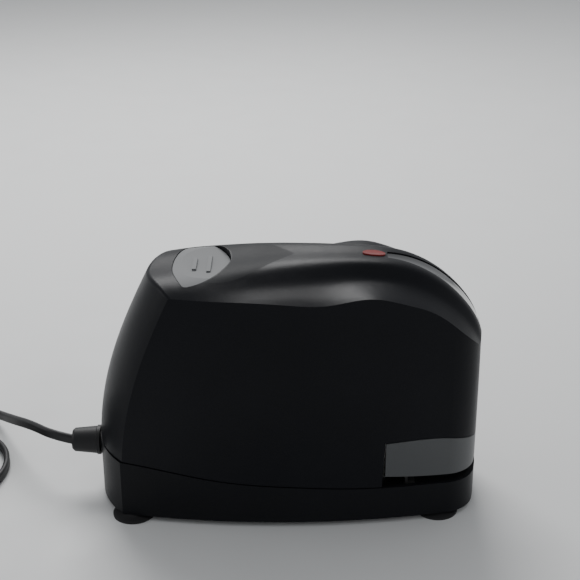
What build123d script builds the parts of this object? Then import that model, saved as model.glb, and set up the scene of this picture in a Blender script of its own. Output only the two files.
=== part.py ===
"""Desk electric stapler: moulded shell, motor and gear drive, sliding magazine, buttons and mains lead.

Millimetres. +X is the nose where the paper goes in, +Y is the left side, +Z is up.
The origin is on the table, midway along and across the machine.
"""
import os
from math import atan2, cos, pi, radians, sin, tan

from build123d import *

os.makedirs("parts", exist_ok=True)


def save(piece, label):
    """Name a finished piece and write it as one STEP file."""
    piece.label = label
    export_step(piece, f"parts/{label}.step")


# ---------------------------------------------------------------- driving dimensions
REAR_X = -94.5          # rearmost point of the base
NOSE_X = 94.5           # foremost point of the base
SIDE_Y = 40.1           # widest half width, just behind the middle
SIDE_X = -6.0           # where the body is widest
REAR_CORNER_X = -81.5   # crisp rear corner of the base
REAR_CORNER_Y = 32.6
NOSE_CORNER_X = 88.0    # where side and nose arcs would meet before rounding
NOSE_CORNER_Y = 29.1
REAR_TOP_ROUND = 2.5    # rounding where the rear meets the crown
NOSE_ROUND = 18.0       # rounding of the nose corners in plan

FOOT_H = 2.8            # height of the rubber feet
FOOT_R = 10.4
WALL = 2.4              # moulded wall
DECK_TOP = 18.5         # floor of the base tray, under the paper
DECK_T = 2.5
GAP = 0.5               # shadow gap between mouldings
FIT = 0.05              # running clearance of shafts, radial
LOOSE = 0.3             # clearance between sliding mouldings

PLATE_Y = 13.0          # inner face of each side plate of the frame
PLATE_T = 1.5

# gear train: motor pinion, compound idler, cam gear
MODULE_FAST = 0.8
MODULE_SLOW = 1.0
PINION_TEETH = 12
WHEEL_TEETH = 48
SMALL_TEETH = 12
CAM_TEETH = 60
MOTOR_X, MOTOR_Z = -61.0, 52.0
FAST_CENTRES = MODULE_FAST * (PINION_TEETH + WHEEL_TEETH) / 2
SLOW_CENTRES = MODULE_SLOW * (SMALL_TEETH + CAM_TEETH) / 2
FAST_ANGLE = 36.0       # direction from motor shaft to idler, up from +X
SLOW_ANGLE = 5.0        # direction from idler to cam gear
IDLER_X = MOTOR_X + FAST_CENTRES * cos(radians(FAST_ANGLE))
IDLER_Z = MOTOR_Z + FAST_CENTRES * sin(radians(FAST_ANGLE))
CAM_X = IDLER_X + SLOW_CENTRES * cos(radians(SLOW_ANGLE))
CAM_Z = IDLER_Z + SLOW_CENTRES * sin(radians(SLOW_ANGLE))

# hammer arm and driver
ARM_X, ARM_Z = -33.0, 74.0     # pivot of the hammer arm
BLADE_X0, BLADE_X1 = 85.7, 86.3
BLADE_Z = 40.0                 # lower edge of the blade at rest

# magazine drawer
MAG_Z = 26.5                   # underside of the drawer's floor
STRIP_X0, STRIP_X1 = 26.0, 85.4
BAND_X = 46.9                  # rear end of the grey front


def xz(y):
    """Sketch plane standing across Y, with local x along +X and local y along +Z, facing -Y."""
    return Plane(origin=(0, y, 0), x_dir=(1, 0, 0), z_dir=(0, -1, 0))


# ---------------------------------------------------------------- shell outlines
def arc_centre(first, middle, last):
    """Centre of the circle through three points in a plane."""
    (ax, ay), (bx, by), (cx, cy) = first, middle, last
    a2, b2, c2 = ax * ax + ay * ay, bx * bx + by * by, cx * cx + cy * cy
    d = 2 * (ax * (by - cy) + bx * (cy - ay) + cx * (ay - by))
    x = (a2 * (by - cy) + b2 * (cy - ay) + c2 * (ay - by)) / d
    y = (a2 * (cx - bx) + b2 * (ax - cx) + c2 * (bx - ax)) / d
    return Vector(x, y)


def moved_corner(corner, centres, inset):
    """A corner between two arcs, moved in so that both arcs move in by inset."""
    point = Vector(*corner)
    n1, n2 = [(centre - point).normalized() for centre in centres]
    moved = point + (n1 + n2) * (inset / (1 + n1.dot(n2)))
    return (moved.X, moved.Y)


def plan_outline(rear_x, corner_x, corner_y, side_y, nose_x, nose_y, inset=0.0):
    """The barrel-shaped plan as a sketch: bowed rear, bowed sides, rounded nose."""
    rear = arc_centre((corner_x, -corner_y), (rear_x, 0), (corner_x, corner_y))
    side = arc_centre((corner_x, corner_y), (SIDE_X, side_y), (NOSE_CORNER_X, nose_y))
    nose = arc_centre((NOSE_CORNER_X, nose_y), (nose_x, 0), (NOSE_CORNER_X, -nose_y))
    x1, y1 = moved_corner((corner_x, corner_y), (rear, side), inset)
    x2, y2 = moved_corner((NOSE_CORNER_X, nose_y), (side, nose), inset)
    with BuildSketch() as plan:
        with BuildLine():
            ThreePointArc((x1, -y1), (rear_x + inset, 0), (x1, y1))
            ThreePointArc((x1, y1), (SIDE_X, side_y - inset), (x2, y2))
            ThreePointArc((x2, y2), (nose_x - inset, 0), (x2, -y2))
            ThreePointArc((x2, -y2), (SIDE_X, inset - side_y), (x1, -y1))
        make_face()
        fillet(plan.vertices().sort_by(Axis.X)[-2:], NOSE_ROUND - inset)
    return plan.sketch


def base_plan(inset=0.0):
    """The base's own plan, straight walled."""
    return plan_outline(REAR_X, REAR_CORNER_X, REAR_CORNER_Y, SIDE_Y, NOSE_X, NOSE_CORNER_Y, inset)


# height, rear centre x, rear corner x, rear corner y, side y, nose x, nose corner y
HOUSING_LEVELS = [
    (17.0, -94.0, -80.9, 32.6, 40.0, 94.3, 29.0),
    (45.0, -93.4, -79.2, 32.3, 39.5, 94.2, 28.9),
    (76.0, -86.4, -72.0, 31.5, 38.6, 94.0, 28.6),
    (100.0, -77.0, -63.0, 30.4, 37.6, 93.6, 28.2),
    (134.0, -60.5, -47.0, 28.9, 36.2, 93.0, 27.6),
]

# station x, crown height, ridge half width, ridge drop, valley half width, valley drop,
# shoulder half width, shoulder drop, edge half width, edge drop
CROWN_STATIONS = [
    (-98.0, 112.6, 22.0, 1.6, 28.0, 4.7, 34.0, 9.2, 48.0, 21.5),
    (-78.0, 117.8, 23.0, 1.5, 29.0, 4.6, 34.5, 9.2, 48.0, 21.5),
    (-58.0, 121.5, 24.0, 1.5, 29.5, 4.5, 35.0, 9.0, 48.0, 21.0),
    (-38.0, 124.3, 22.5, 1.3, 29.0, 4.4, 35.5, 8.0, 48.0, 19.0),
    (-19.0, 126.6, 19.3, 1.1, 26.0, 4.9, 33.8, 7.8, 48.0, 18.5),
    (0.0, 128.0, 16.2, 0.9, 23.0, 5.2, 31.0, 8.2, 48.0, 20.5),
    (20.0, 128.5, 13.4, 0.7, 19.8, 5.4, 27.0, 7.8, 48.0, 24.0),
    (40.0, 127.8, 12.0, 0.5, 17.0, 5.4, 22.5, 6.9, 48.0, 28.5),
    (55.0, 125.7, 11.5, 0.6, 16.8, 5.6, 21.8, 7.4, 48.0, 30.0),
    (66.0, 121.4, 11.5, 0.7, 16.6, 5.4, 21.2, 7.2, 48.0, 30.0),
    (76.0, 114.9, 11.5, 0.9, 16.4, 5.2, 20.8, 7.2, 48.0, 30.0),
    (85.0, 106.2, 11.5, 1.2, 16.5, 5.6, 21.0, 7.8, 48.0, 30.0),
    (92.0, 95.4, 11.5, 1.8, 16.6, 6.6, 21.5, 9.2, 48.0, 31.0),
    (99.0, 79.0, 11.5, 2.0, 16.8, 7.0, 22.0, 9.8, 48.0, 33.0),
]
CROWN_FLOOR = 10.0


def crown_section(station, drop=0.0):
    """One cross section of everything under the crown, as a face standing across X."""
    x, top, y1, d1, y2, d2, y3, d3, y4, d4 = station
    half = [(y1, top - d1), (y2, top - d2), (y3, top - d3), (y4, top - d4)]
    points = [(-y, z - drop) for y, z in reversed(half)]
    points += [(0, top - drop)]
    points += [(y, z - drop) for y, z in half]
    plane = Plane(origin=(x, 0, 0), x_dir=(0, 1, 0), z_dir=(1, 0, 0))
    with BuildSketch(plane) as section:
        with BuildLine():
            roof = Spline(points)
            Polyline(roof @ 1, (y4, CROWN_FLOOR), (-y4, CROWN_FLOOR), roof @ 0)
        make_face()
    return section.sketch


def crown_solid(drop=0.0):
    """Everything under the crown, lowered by drop."""
    with BuildPart() as crown:
        for station in CROWN_STATIONS:
            add(crown_section(station, drop))
        loft()
    return crown.part


def housing_prism(inset=0.0):
    """Everything inside the leaning rear and the flanks."""
    with BuildPart() as prism:
        for level in HOUSING_LEVELS:
            with BuildSketch(Plane.XY.offset(level[0])):
                add(plan_outline(*level[1:], inset))
        loft()
    return prism.part


PARTING = [
    (-110.0, 31.6),
    (-72.0, 30.9),
    (-31.0, 24.6),
    (6.0, 22.0),
    (30.0, 20.6),
    (62.0, 20.2),
    (110.0, 18.6),
]


def above_parting(lift):
    """Block above the parting line, raised by lift, wide enough to cut the whole body."""
    with BuildPart() as block:
        with BuildSketch(xz(60)):
            with BuildLine():
                seam = Spline([(x, z + lift) for x, z in PARTING])
                Polyline(seam @ 1, (110, 150), (-110, 150), seam @ 0)
            make_face()
        extrude(amount=120)
    return block.part


BAND_TOP = [(BAND_X, 44.4), (68.0, 45.4), (84.0, 43.4), (97.0, 37.0)]
BAND_FOOT = [(96.0, 24.9), (74.0, 24.9), (BAND_X - 0.9, 26.6)]


def notch_block(grow):
    """Block that the grey front fills, grown by grow on its top and rear."""
    with BuildPart() as block:
        with BuildSketch(xz(60)):
            with BuildLine():
                brow = Spline([(x - (grow if i == 0 else 0), z + grow) for i, (x, z) in enumerate(BAND_TOP)])
                Polyline(
                    brow @ 1,
                    (110, 36 + grow),
                    (110, 10),
                    (BAND_X - 1.5 - grow, 10),
                    brow @ 0,
                )
            make_face()
        extrude(amount=120)
    return block.part


# the button's outline: shallow arc behind, an egg-shaped front made of three arcs
BUTTON_X = -48.5        # widest station of the button
BUTTON_HALF = 24.6
BUTTON_REAR = -55.2
BUTTON_FRONT = -27.5
BUTTON_SHOULDER = (-40.2, 22.6)
BUTTON_CHEEK = (-32.4, 15.8)
SHOULDER_OUT = (0.4, 0.9)   # outward directions at the shoulder and at the cheek
CHEEK_OUT = (0.8, 0.6)
BUTTON_ROUND = 3.0


def button_outline(grow=0.0):
    """The button's outline as a sketch, grown by grow."""
    half = BUTTON_HALF + grow
    shoulder_x, shoulder_y = [place + grow * out for place, out in zip(BUTTON_SHOULDER, SHOULDER_OUT)]
    cheek_x, cheek_y = [place + grow * out for place, out in zip(BUTTON_CHEEK, CHEEK_OUT)]
    with BuildSketch() as outline:
        with BuildLine():
            ThreePointArc((BUTTON_X - grow, -half), (shoulder_x, -shoulder_y), (cheek_x, -cheek_y))
            ThreePointArc((cheek_x, -cheek_y), (BUTTON_FRONT + grow, 0), (cheek_x, cheek_y))
            ThreePointArc((cheek_x, cheek_y), (shoulder_x, shoulder_y), (BUTTON_X - grow, half))
            ThreePointArc((BUTTON_X - grow, half), (BUTTON_REAR - grow, 0), (BUTTON_X - grow, -half))
        make_face()
        fillet(outline.vertices().sort_by(Axis.X)[:2], BUTTON_ROUND + grow)
    return outline.sketch


LEAF_TIP = 3.3          # foremost point of the smooth leaf panel
LEAF_HALF = 23.0


def leaf_outline():
    """The leaf panel's outline as a sketch: from the button's front forward to a soft point."""
    half = [(-39.0, LEAF_HALF), (-19.0, 19.8), (-8.0, 11.6), (LEAF_TIP, 0)]
    with BuildSketch() as outline:
        with BuildLine():
            Spline([(x, -y) for x, y in half])
            Spline(half)
            Polyline((-39.0, -LEAF_HALF), (-39.0, LEAF_HALF))
        make_face()
    return outline.sketch



def across(outline, y0, y1):
    """Push a sketch drawn in X and Z through from y0 to y1 (y0 is the +Y side)."""
    return extrude(xz(y0) * outline, amount=y0 - y1, mode=Mode.PRIVATE)


def polygon(points):
    """A straight-sided face through the given points."""
    with BuildSketch() as outline:
        with BuildLine():
            Polyline(points, close=True)
        make_face()
    return outline.sketch


def disc(x, z, radius):
    """A round face at x, z in a standing sketch."""
    with BuildSketch() as outline:
        with Locations((x, z)):
            Circle(radius)
    return outline.sketch


def rod(x, z, radius, y0, y1):
    """A cylinder across the machine from y0 to y1 (y0 is the +Y side)."""
    return across(disc(x, z, radius), y0, y1)


def bar(x0, x1, y0, y1, z0, z1):
    """A plain block between two corners."""
    block = Box(x1 - x0, y1 - y0, z1 - z0, mode=Mode.PRIVATE)
    return Pos((x0 + x1) / 2, (y0 + y1) / 2, (z0 + z1) / 2) * block


def upright(x, y, radius, z0, z1):
    """A standing cylinder."""
    return Pos(x, y, (z0 + z1) / 2) * Cylinder(radius, z1 - z0, mode=Mode.PRIVATE)


def lengthwise(x0, x1, y, z, radius):
    """A cylinder lying along X from x0 to x1."""
    return Pos((x0 + x1) / 2, y, z) * Rot(0, 90, 0) * Cylinder(radius, x1 - x0, mode=Mode.PRIVATE)


def prism(outline, z0, height):
    """Push a flat sketch up from z0."""
    return extrude(Plane.XY.offset(z0) * outline, height, mode=Mode.PRIVATE)


# ---------------------------------------------------------------- base, feet and bottom plate
FEET = [(-76.5, -27.5), (-76.5, 27.5), (74.0, -24.0), (74.0, 24.0)]
FOOT_NAMES = ["rear_right", "rear_left", "front_right", "front_left"]
BASE_SCREWS = [(-60.0, -20.0), (-60.0, 20.0), (52.0, -24.0), (52.0, 24.0)]
COVER_SCREWS = [(-36.0, -32.4), (-36.0, 32.4), (36.0, -31.6), (36.0, 31.6)]
CORD_Z = 25.7           # height of the mains inlet
PLATE_TOP = FOOT_H + 2.0
STUD_R = 2.2
SCREW_R = 1.4
HEAD_R = 2.8
POST_BORE = 8.0         # depth of the screw holes in the base posts
LIP_H = 0.9             # thickness of a foot's lip at its rim

with BuildPart() as base_shell:
    with BuildSketch(Plane.XY.offset(FOOT_H)):
        add(base_plan())
    extrude(amount=40)
    with BuildSketch(Plane.XY.offset(FOOT_H)):
        add(base_plan(WALL))
    extrude(amount=DECK_TOP - DECK_T - FOOT_H, mode=Mode.SUBTRACT)
    with BuildSketch(Plane.XY.offset(DECK_TOP)):
        add(base_plan(WALL))
    extrude(amount=40, mode=Mode.SUBTRACT)
    add(above_parting(0), mode=Mode.SUBTRACT)
    # posts under the deck for the screws that close the bottom
    with BuildSketch(Plane.XY.offset(PLATE_TOP)):
        with Locations(*BASE_SCREWS):
            Circle(4.0)
    extrude(amount=DECK_TOP - DECK_T - PLATE_TOP)
    with BuildSketch(Plane.XY.offset(PLATE_TOP)):
        with Locations(*BASE_SCREWS):
            Circle(SCREW_R)
    extrude(amount=POST_BORE, mode=Mode.SUBTRACT)
    # holes through the deck for the cover screws
    with BuildSketch(Plane.XY.offset(DECK_TOP)):
        with Locations(*COVER_SCREWS):
            Circle(SCREW_R)
    extrude(amount=-DECK_T, mode=Mode.SUBTRACT)
    # mains inlet in the rear wall
    with BuildSketch(Plane.YZ.offset(REAR_X - 2)):
        with Locations((0, CORD_Z)):
            Circle(4.6)
    extrude(amount=6, mode=Mode.SUBTRACT)
save(base_shell.part, "base_shell")

with BuildPart() as bottom_plate:
    with BuildSketch(Plane.XY.offset(FOOT_H + 0.2)):
        add(base_plan(WALL + 0.3))
        with Locations(*FEET):
            Circle(STUD_R, mode=Mode.SUBTRACT)
        with Locations(*BASE_SCREWS):
            Circle(SCREW_R, mode=Mode.SUBTRACT)
        with GridLocations(6, 0, 9, 1):
            SlotOverall(24, 2.4, rotation=90, mode=Mode.SUBTRACT)
    extrude(amount=PLATE_TOP - FOOT_H - 0.2)
save(bottom_plate.part, "bottom_plate")

for (foot_x, foot_y), foot_name in zip(FEET, FOOT_NAMES):
    # suction-cup foot: wide lip on the table, narrow neck, stud through the bottom plate
    with BuildPart() as foot:
        with BuildSketch(Plane(origin=(foot_x, foot_y, 0), x_dir=(1, 0, 0), z_dir=(0, -1, 0))):
            with BuildLine():
                cup = Polyline((0, 1.0), (5.0, 0.8), (9.0, 0), (FOOT_R, 0), (FOOT_R, LIP_H))
                lip = Spline((FOOT_R, LIP_H), (7.8, 1.5), (6.0, 2.2), (5.4, FOOT_H))
                stud = [(STUD_R, FOOT_H), (STUD_R, PLATE_TOP), (3.0, PLATE_TOP), (2.4, 8.0), (0, 8.0)]
                Polyline(lip @ 1, *stud, cup @ 0)
            make_face()
        revolve(axis=Axis((foot_x, foot_y, 0), (0, 0, 1)))
    save(foot.part, f"foot_{foot_name}")

# ---------------------------------------------------------------- cover and its trims
crown = crown_solid()
housing_sharp = housing_prism() & crown
rear_edges = [edge for edge in housing_sharp.edges() if edge.center().X < -50 and edge.center().Z > 100]
housing_outer = housing_sharp.fillet(REAR_TOP_ROUND, rear_edges)
housing_inner = housing_prism(WALL) & crown_solid(WALL)
SKIN = 1.0              # thickness of the set-in trims
LENS_X, LENS_LONG, LENS_WIDE = 40.9, 11.0, 6.0
STRIP_REAR, STRIP_FRONT = 47.4, 93.2

with BuildPart() as strip_block:
    with BuildSketch(Plane.XY.offset(84)):
        right_edge = [(STRIP_REAR, -3.6), (70, -6.0), (STRIP_FRONT, -7.6)]
        left_edge = [(STRIP_FRONT, 7.6), (70, 6.0), (STRIP_REAR, 3.6)]
        Polygon(*right_edge, *left_edge, align=None)
    extrude(amount=60)
strip_zone = strip_block.part
leaf_zone = prism(leaf_outline(), 105, 40) - prism(button_outline(0.9), 100, 50)
lens_zone = prism(Pos(LENS_X, 0) * Ellipse(LENS_LONG / 2, LENS_WIDE / 2), 118, 20)

with BuildPart() as housing_cover:
    add(housing_outer)
    add(above_parting(GAP), mode=Mode.INTERSECT)
    add(housing_inner, mode=Mode.SUBTRACT)
    add(notch_block(0.5), mode=Mode.SUBTRACT)
    # posts inside that take the screws from under the deck
    for x, y in COVER_SCREWS:
        side = 1 if y > 0 else -1
        add(upright(x, y, 3.0, DECK_TOP + 0.1, 50))
        web = bar(x - 1.0, x + 1.0, min(side * 31, side * 38), max(side * 31, side * 38), 34, 50)
        add(web & housing_outer)
        add(upright(x, y, SCREW_R, DECK_TOP, 30), mode=Mode.SUBTRACT)
    # button opening, seat of the leaf panel, lens window, seat of the nose strip
    with BuildSketch(Plane.XY.offset(100)):
        add(button_outline(LOOSE))
    extrude(amount=50, mode=Mode.SUBTRACT)
    add(leaf_zone - crown_solid(SKIN), mode=Mode.SUBTRACT)
    add(lens_zone, mode=Mode.SUBTRACT)
    add(strip_zone - (crown_solid(SKIN + 0.5) & housing_prism(SKIN)), mode=Mode.SUBTRACT)
save(housing_cover.part, "housing_cover")

with BuildPart() as leaf_panel:
    add(leaf_zone & housing_outer)
    add(crown_solid(SKIN), mode=Mode.SUBTRACT)
save(leaf_panel.part, "leaf_panel")

with BuildPart() as nose_strip:
    add(strip_zone & crown_solid(0.5) & housing_prism(0.3))
    add(crown_solid(SKIN + 0.5) & housing_prism(SKIN), mode=Mode.SUBTRACT)
save(nose_strip.part, "nose_strip")

with BuildPart() as indicator_lens:
    add(lens_zone & crown_solid(-0.7))
    add(bar(LENS_X - 9, LENS_X + 9, -9, 9, 100, 124.5), mode=Mode.SUBTRACT)
save(indicator_lens.part, "indicator_lens")

with BuildPart() as indicator_lamp:
    add(upright(LENS_X, 0, 2.5, 117.5, 124.5))
    add(upright(LENS_X, 0, 3.0, 116.5, 117.5))
    for y in (-1.27, 1.27):
        add(upright(LENS_X, y, 0.3, 107.0, 116.5))
save(indicator_lamp.part, "indicator_lamp")

# screws driven from below: four hold the bottom plate, four reach the cover through the deck
with BuildPart() as bottom_screws:
    for x, y in BASE_SCREWS:
        add(upright(x, y, HEAD_R, FOOT_H - 1.4, FOOT_H + 0.2))
        add(upright(x, y, SCREW_R, FOOT_H + 0.2, PLATE_TOP + POST_BORE - 0.5))
    for x, y in COVER_SCREWS:
        add(upright(x, y, HEAD_R, DECK_TOP - DECK_T - 1.6, DECK_TOP - DECK_T))
        add(upright(x, y, SCREW_R, DECK_TOP - DECK_T, 29))
save(bottom_screws.part, "bottom_screws")

# ---------------------------------------------------------------- frame of two steel side plates
SPACERS = [(-30.0, 90.0), (40.0, 98.0), (0.0, 46.0), (50.0, 48.0)]
SPACER_R = 3.0
PIN_R = 3.0             # pivot pin of the hammer arm
LATCH_X, LATCH_Z = -30.0, 42.0
LATCH_PIN_R = 1.5
TRIGGER_X, TRIGGER_Z = 53.0, 38.0
TRIGGER_PIN_R = 1.25
IDLER_PIN_R = 2.0
BUSH_R = 6.0
SHAFT_R = 4.0
BOSS_R = 5.0            # motor's locating boss
MOTOR_SCREW_OFFSET = 12.5
FLANGE_SCREWS_RIGHT = [(-60.0, -19.0), (-10.0, -19.0), (40.0, -19.0)]
FLANGE_SCREWS_LEFT = [(-24.0, 19.0), (40.0, 19.0)]
PLATE_HEAD = [(0, 96), (20, 104), (60, 104), (74, 99), (86, 84), (86, 41), (57, 41), (57, DECK_TOP)]
RIGHT_PLATE = [(-80, DECK_TOP), (-80, 70), (-54, 96)] + PLATE_HEAD
LEFT_PLATE = [(-37.5, DECK_TOP), (-37.5, 96)] + PLATE_HEAD

with BuildPart() as frame_right:
    add(across(polygon(RIGHT_PLATE), -PLATE_Y, -PLATE_Y - PLATE_T))
    add(bar(-70, 48, -24.5, -PLATE_Y, DECK_TOP, DECK_TOP + PLATE_T))
    for x, z in SPACERS:
        add(rod(x, z, 1.6, -12, -16), mode=Mode.SUBTRACT)
    add(rod(ARM_X, ARM_Z, PIN_R, -12, -16), mode=Mode.SUBTRACT)
    add(rod(LATCH_X, LATCH_Z, LATCH_PIN_R, -12, -16), mode=Mode.SUBTRACT)
    add(rod(TRIGGER_X, TRIGGER_Z, TRIGGER_PIN_R, -12, -16), mode=Mode.SUBTRACT)
    add(rod(IDLER_X, IDLER_Z, IDLER_PIN_R, -12, -16), mode=Mode.SUBTRACT)
    add(rod(CAM_X, CAM_Z, BUSH_R, -12, -16), mode=Mode.SUBTRACT)
    add(rod(MOTOR_X, MOTOR_Z, BOSS_R + 0.1, -12, -16), mode=Mode.SUBTRACT)
    for dz in (-MOTOR_SCREW_OFFSET, MOTOR_SCREW_OFFSET):
        add(rod(MOTOR_X, MOTOR_Z + dz, SCREW_R, -12, -16), mode=Mode.SUBTRACT)
    with BuildSketch(Plane.XY.offset(DECK_TOP)):
        with Locations(*FLANGE_SCREWS_RIGHT):
            Circle(SCREW_R)
    extrude(amount=4, mode=Mode.SUBTRACT)
save(frame_right.part, "frame_right")

with BuildPart() as frame_left:
    add(across(polygon(LEFT_PLATE), PLATE_Y + PLATE_T, PLATE_Y))
    add(bar(-36, 48, PLATE_Y, 24.5, DECK_TOP, DECK_TOP + PLATE_T))
    for x, z in SPACERS:
        add(rod(x, z, 1.6, 16, 12), mode=Mode.SUBTRACT)
    add(rod(ARM_X, ARM_Z, PIN_R, 16, 12), mode=Mode.SUBTRACT)
    add(rod(LATCH_X, LATCH_Z, LATCH_PIN_R, 16, 12), mode=Mode.SUBTRACT)
    with BuildSketch(Plane.XY.offset(DECK_TOP)):
        with Locations(*FLANGE_SCREWS_LEFT):
            Circle(SCREW_R)
    extrude(amount=4, mode=Mode.SUBTRACT)
save(frame_left.part, "frame_left")

with BuildPart() as frame_spacers:
    for x, z in SPACERS:
        add(rod(x, z, SPACER_R, PLATE_Y, -PLATE_Y))
        add(rod(x, z, 1.6, PLATE_Y + PLATE_T + 0.8, -PLATE_Y - PLATE_T - 0.8))
save(frame_spacers.part, "frame_spacers")

# ---------------------------------------------------------------- motor
CAN_R = 18.0
CAN_FRONT, CAN_REAR = -PLATE_Y, 22.0
AXLE_R = 1.6            # motor shaft

with BuildPart() as motor_can:
    add(rod(MOTOR_X, MOTOR_Z, CAN_R, CAN_REAR, CAN_FRONT))
    add(rod(MOTOR_X, MOTOR_Z, CAN_R - 1.2, CAN_REAR, CAN_FRONT + 1.5), mode=Mode.SUBTRACT)
    add(rod(MOTOR_X, MOTOR_Z, BOSS_R, CAN_FRONT, CAN_FRONT - 2.5))
    add(rod(MOTOR_X, MOTOR_Z, AXLE_R + FIT, CAN_REAR, CAN_FRONT - 3), mode=Mode.SUBTRACT)
    for dz in (-MOTOR_SCREW_OFFSET, MOTOR_SCREW_OFFSET):
        add(rod(MOTOR_X, MOTOR_Z + dz, SCREW_R, CAN_FRONT + 2, CAN_FRONT - 1), mode=Mode.SUBTRACT)
save(motor_can.part, "motor_can")

with BuildPart() as motor_end_cap:
    add(rod(MOTOR_X, MOTOR_Z, CAN_R, CAN_REAR + 3.5, CAN_REAR))
    add(rod(MOTOR_X, MOTOR_Z, AXLE_R + FIT, CAN_REAR + 2.5, CAN_REAR - 1), mode=Mode.SUBTRACT)
    for dx in (-9.0, 9.0):
        tab_x = MOTOR_X + dx
        add(bar(tab_x - 2.4, tab_x + 2.4, CAN_REAR + 3.5, CAN_REAR + 4.5, MOTOR_Z - 3, MOTOR_Z + 3))
save(motor_end_cap.part, "motor_end_cap")

with BuildPart() as motor_magnets:
    add(rod(MOTOR_X, MOTOR_Z, CAN_R - 1.2, 18, -8))
    add(rod(MOTOR_X, MOTOR_Z, 12.8, 19, -9), mode=Mode.SUBTRACT)
    add(bar(MOTOR_X - 20, MOTOR_X + 20, -10, 20, MOTOR_Z - 5, MOTOR_Z + 5), mode=Mode.SUBTRACT)
save(motor_magnets.part, "motor_magnets")

WHEEL_Y0, WHEEL_Y1 = -22.5, -27.0       # fast pair
SLOW_Y0, SLOW_Y1 = -16.5, -22.5         # slow pair

with BuildPart() as motor_rotor:
    add(rod(MOTOR_X, MOTOR_Z, AXLE_R, CAN_REAR + 2, WHEEL_Y1 - 0.8))
    slot_angles = [k * 2 * pi / 5 for k in range(5)]
    slots = [rod(MOTOR_X + 10.6 * cos(a), MOTOR_Z + 10.6 * sin(a), 2.2, 16, -6) for a in slot_angles]
    core = rod(MOTOR_X, MOTOR_Z, 12.2, 15, -5)
    for slot in slots:
        core = core - slot
    add(core)
save(motor_rotor.part, "motor_rotor")

# ---------------------------------------------------------------- gears
PRESSURE = radians(25.0)
BACKLASH = 0.14         # of the module, taken off each tooth
ADDENDUM, DEDENDUM = 0.92, 1.22
FLANK_POINTS = 4


def involute(angle):
    """Involute function of a pressure angle."""
    return tan(angle) - angle


def gear_face(teeth, module, phase_deg, x, z):
    """Face of a spur gear centred at x, z with one tooth pointing at phase_deg from +X towards +Z."""
    pitch_r = teeth * module / 2
    base_r = pitch_r * cos(PRESSURE)
    tip_r = pitch_r + ADDENDUM * module
    root_r = pitch_r - DEDENDUM * module
    half_pitch = (pi / 2 - BACKLASH) / teeth
    start_r = max(base_r * 1.0005, root_r)
    flank = []
    for k in range(FLANK_POINTS):
        r = start_r + (tip_r - start_r) * k / (FLANK_POINTS - 1)
        cosine = base_r / r
        local = atan2((1 - cosine ** 2) ** 0.5, cosine)
        flank.append((r, half_pitch + involute(PRESSURE) - involute(local)))
    outline = []
    for tooth in range(teeth):
        middle = radians(phase_deg) + 2 * pi * tooth / teeth
        if root_r < start_r:
            outline.append((root_r, middle - flank[0][1]))
        outline += [(r, middle - half) for r, half in flank]
        outline += [(r, middle + half) for r, half in reversed(flank)]
        if root_r < start_r:
            outline.append((root_r, middle + flank[0][1]))
    return polygon([(x + r * cos(a), z + r * sin(a)) for r, a in outline])


with BuildPart() as motor_pinion:
    add(across(gear_face(PINION_TEETH, MODULE_FAST, FAST_ANGLE, MOTOR_X, MOTOR_Z), WHEEL_Y0, WHEEL_Y1))
    add(rod(MOTOR_X, MOTOR_Z, AXLE_R, WHEEL_Y0 + 1, WHEEL_Y1 - 1), mode=Mode.SUBTRACT)
save(motor_pinion.part, "motor_pinion")

with BuildPart() as idler_wheel:
    phase = FAST_ANGLE + 180 + 180 / WHEEL_TEETH
    add(across(gear_face(WHEEL_TEETH, MODULE_FAST, phase, IDLER_X, IDLER_Z), WHEEL_Y0, WHEEL_Y1))
    add(rod(IDLER_X, IDLER_Z, IDLER_PIN_R + FIT, WHEEL_Y0 + 1, WHEEL_Y1 - 1), mode=Mode.SUBTRACT)
    for k in range(6):
        a = k * pi / 3
        hole_x = IDLER_X + 11.5 * cos(a)
        hole_z = IDLER_Z + 11.5 * sin(a)
        add(rod(hole_x, hole_z, 3.4, WHEEL_Y0 + 1, WHEEL_Y1 - 1), mode=Mode.SUBTRACT)
save(idler_wheel.part, "idler_wheel")

with BuildPart() as idler_pinion:
    add(across(gear_face(SMALL_TEETH, MODULE_SLOW, SLOW_ANGLE, IDLER_X, IDLER_Z), SLOW_Y0, SLOW_Y1))
    add(rod(IDLER_X, IDLER_Z, IDLER_PIN_R + FIT, SLOW_Y0 + 1, SLOW_Y1 - 1), mode=Mode.SUBTRACT)
save(idler_pinion.part, "idler_pinion")

GEAR_Y0, GEAR_Y1 = -17.5, -21.5
THROW = 1.87            # eccentricity of the crank

with BuildPart() as cam_gear:
    phase = SLOW_ANGLE + 180 + 180 / CAM_TEETH
    add(across(gear_face(CAM_TEETH, MODULE_SLOW, phase, CAM_X, CAM_Z), GEAR_Y0, GEAR_Y1))
    add(rod(CAM_X, CAM_Z, 8.0, GEAR_Y0, GEAR_Y1 - 1.5))
    add(rod(CAM_X, CAM_Z, SHAFT_R, GEAR_Y0 + 1, GEAR_Y1 - 3), mode=Mode.SUBTRACT)
    for k in range(5):
        a = k * 2 * pi / 5
        add(rod(CAM_X + 18 * cos(a), CAM_Z + 18 * sin(a), 6.0, GEAR_Y0 + 1, GEAR_Y1 - 1), mode=Mode.SUBTRACT)
save(cam_gear.part, "cam_gear")

DISC_Y0, DISC_Y1 = -5.0, -8.7
with BuildPart() as crank:
    add(rod(CAM_X, CAM_Z, SHAFT_R, DISC_Y1, GEAR_Y1 - 1.5))
    add(rod(CAM_X, CAM_Z, 12.0, DISC_Y0, DISC_Y1))
    add(rod(CAM_X, CAM_Z + THROW, 5.5, -3.0 - LOOSE, DISC_Y0))
save(crank.part, "crank")

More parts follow.
